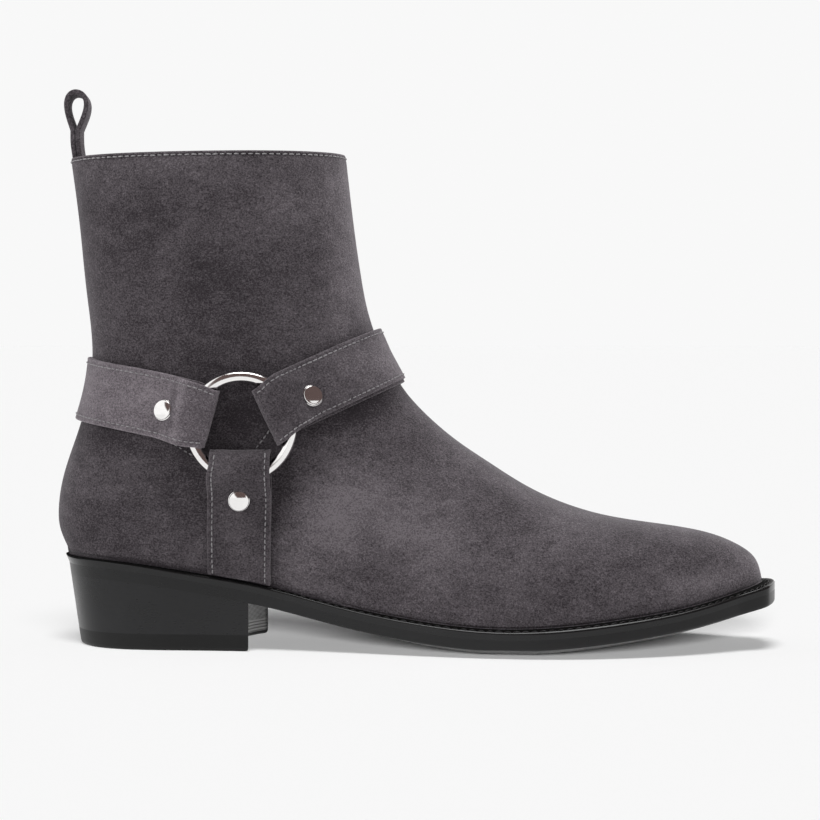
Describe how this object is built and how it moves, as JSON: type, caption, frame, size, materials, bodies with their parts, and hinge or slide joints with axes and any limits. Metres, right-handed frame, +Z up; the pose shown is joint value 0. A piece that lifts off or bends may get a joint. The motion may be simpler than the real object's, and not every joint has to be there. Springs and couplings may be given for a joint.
{
  "type": "harness boot",
  "caption": "Low harness ankle boot for the right foot: suede upper on a welted leather sole with a stacked heel, straps held to a round wire ring on each side, and a pull loop at the back.",
  "frame": {"origin": "on the floor under the middle of the boot's bounding box", "axes": "+X to the toe, +Y to the inner (medial) side of the foot, +Z up the shaft"},
  "size_m": [0.303, 0.097, 0.2356],
  "materials": {
    "suede": "charcoal suede with a short nap",
    "sole": "black sole leather, burnished edge",
    "heel": "black stacked leather, satin",
    "rubber": "black rubber, matt",
    "insole": "black lining leather",
    "nickel": "polished nickel plate"
  },
  "bodies": {
    "root": {"outsole": "sole", "welt": "sole", "heel_stack": "heel", "heel_top_piece": "rubber", "insole": "insole", "upper": "suede", "pull_loop": "suede", "back_strap": "suede", "front_strap": "suede", "lower_strap_lateral": "suede", "lower_strap_medial": "suede", "ring_lateral": "nickel", "ring_medial": "nickel", "stud_back_lateral": "nickel", "stud_back_medial": "nickel", "stud_front_lateral": "nickel", "stud_front_medial": "nickel", "stud_lower_lateral": "nickel", "stud_lower_medial": "nickel"}
  },
  "joints": []
}
